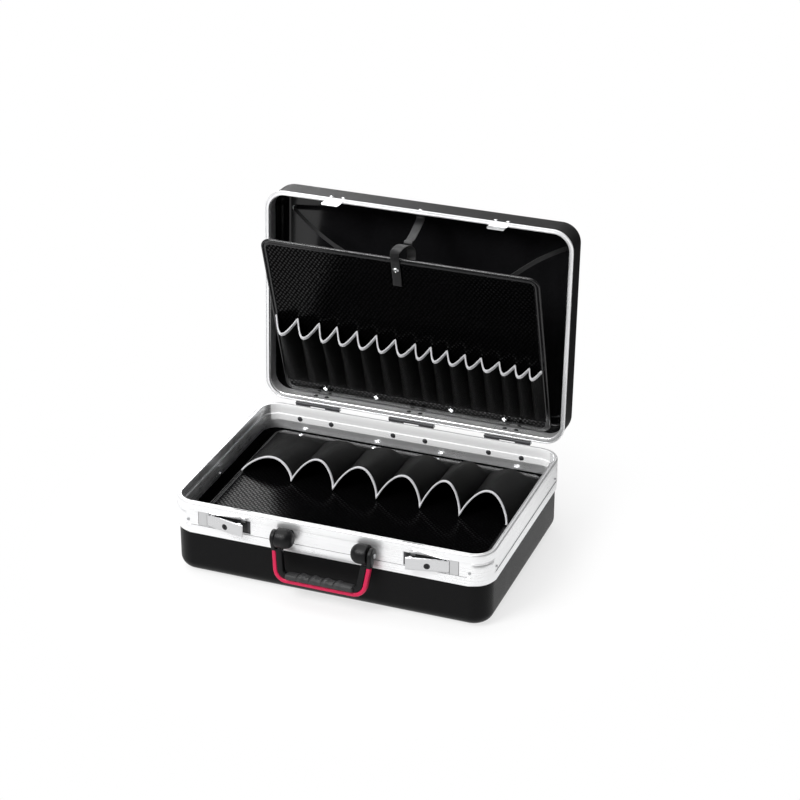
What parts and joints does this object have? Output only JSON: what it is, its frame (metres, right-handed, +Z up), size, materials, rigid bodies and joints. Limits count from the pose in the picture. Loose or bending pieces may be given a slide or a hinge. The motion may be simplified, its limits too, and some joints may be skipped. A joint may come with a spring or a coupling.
{
  "type": "tool case",
  "caption": "Hard-shell tool case, open, with a hinged lid, metal rim frame, lever latches, a carrying handle and two tool boards with pockets.",
  "frame": {"origin": "middle of the underside of the base shell", "axes": "+X across the width to the right, -Y towards the handle and latches, +Z up"},
  "size_m": [0.4862, 0.449, 0.4612],
  "materials": {
    "shell_plastic": "black moulded plastic with a fine grain outside and a smooth gloss inside",
    "frame_metal": "natural aluminium extrusion, brushed along its length",
    "gasket": "matte black",
    "pin_steel": "turned steel",
    "bright_steel": "bright plated steel",
    "dark_steel": "black finished steel",
    "latch_metal": "satin plated steel",
    "lever_metal": "satin plated steel, slightly rounded edges",
    "handle_plastic": "black, fine grain",
    "grip_plastic": "black soft-touch",
    "inlay_red": "crimson, satin",
    "board_vinyl": "black vinyl embossed with shiny raised dots",
    "trim_vinyl": "black welded border",
    "pocket_cloth": "black woven nylon",
    "piping_grey": "light grey ribbed binding",
    "strap_leather": "black leatherette"
  },
  "bodies": {
    "base": {"base_shell": "shell_plastic", "base_frame": "frame_metal", "frame_gasket": "gasket", "corner_pins": "pin_steel", "side_studs": "bright_steel", "hinge_base_leaves": "dark_steel", "hinge_pins": "pin_steel", "hinge_base_rivets": "dark_steel", "latch_housing_left": "latch_metal", "latch_housing_right": "latch_metal", "latch_catches": "dark_steel", "latch_pivot_pins": "pin_steel", "handle_mount_left": "handle_plastic", "handle_mount_right": "handle_plastic", "handle_pins": "pin_steel"},
    "base_board": {"base_board": "board_vinyl", "base_board_trim": "trim_vinyl", "base_pockets_left": "pocket_cloth", "base_pockets_right": "pocket_cloth", "base_piping": "piping_grey", "base_snaps": "bright_steel"},
    "lid": {"lid_shell": "shell_plastic", "lid_frame": "frame_metal", "hinge_lid_leaves": "dark_steel", "hinge_lid_rivets": "dark_steel", "hasp_left": "bright_steel", "hasp_right": "bright_steel", "hasp_rivets": "bright_steel", "strap_rivet": "bright_steel", "centre_strap": "strap_leather", "stay_left": "strap_leather", "stay_right": "strap_leather", "stay_rivets": "bright_steel"},
    "lid_board": {"lid_board": "board_vinyl", "lid_board_trim": "trim_vinyl", "lid_pockets_left": "pocket_cloth", "lid_pockets_middle": "pocket_cloth", "lid_pockets_right": "pocket_cloth", "lid_piping": "piping_grey", "lid_snaps": "bright_steel", "strap_loop": "strap_leather", "strap_snap": "bright_steel"},
    "lever_left": {"latch_lever_left": "lever_metal"},
    "lever_right": {"latch_lever_right": "lever_metal"},
    "lock_left": {"lock_left": "pin_steel"},
    "lock_right": {"lock_right": "pin_steel"},
    "handle": {"handle_core": "handle_plastic", "handle_grip": "grip_plastic", "handle_inlay": "inlay_red"}
  },
  "joints": [
    {"name": "lid_hinge", "type": "hinge", "parent": "base", "child": "lid", "pos_m": [0, 0.1724, 0.12], "axis": [-1, 0, 0], "range_deg": [-93, 0]},
    {"name": "lid_board_hinge", "type": "hinge", "parent": "lid", "child": "lid_board", "pos_m": [0, 0.19498, 0.13043], "axis": [1, 0, 0], "range_deg": [-19.8, 0], "deforming": ["centre_strap", "stay_left", "stay_right"]},
    {"name": "base_board_hinge", "type": "hinge", "parent": "base", "child": "base_board", "pos_m": [0, 0.1598, 0.0745], "axis": [-1, 0, 0], "range_deg": [0, 60]},
    {"name": "lever_left_pivot", "type": "hinge", "parent": "base", "child": "lever_left", "pos_m": [-0.1823, -0.1682, 0.0935], "axis": [0, 0, -1], "range_deg": [-12, 45]},
    {"name": "lever_right_pivot", "type": "hinge", "parent": "base", "child": "lever_right", "pos_m": [0.1823, -0.1682, 0.0935], "axis": [0, 0, 1], "range_deg": [-12, 45]},
    {"name": "lock_left_turn", "type": "hinge", "parent": "lever_left", "child": "lock_left", "pos_m": [-0.15315, -0.1744, 0.0915], "axis": [-0.2079, -0.9781, 0], "range_deg": [0, 90]},
    {"name": "lock_right_turn", "type": "hinge", "parent": "lever_right", "child": "lock_right", "pos_m": [0.15315, -0.1744, 0.0915], "axis": [0.2079, -0.9781, 0], "range_deg": [0, 90]},
    {"name": "handle_pivot", "type": "hinge", "parent": "base", "child": "handle", "pos_m": [0, -0.182, 0.0955], "axis": [-1, 0, 0], "range_deg": [-12, 78]}
  ],
  "couplings": [
    {"joint": "lid_board_hinge", "follows": "lid_hinge", "ratio": 0.2129}
  ]
}
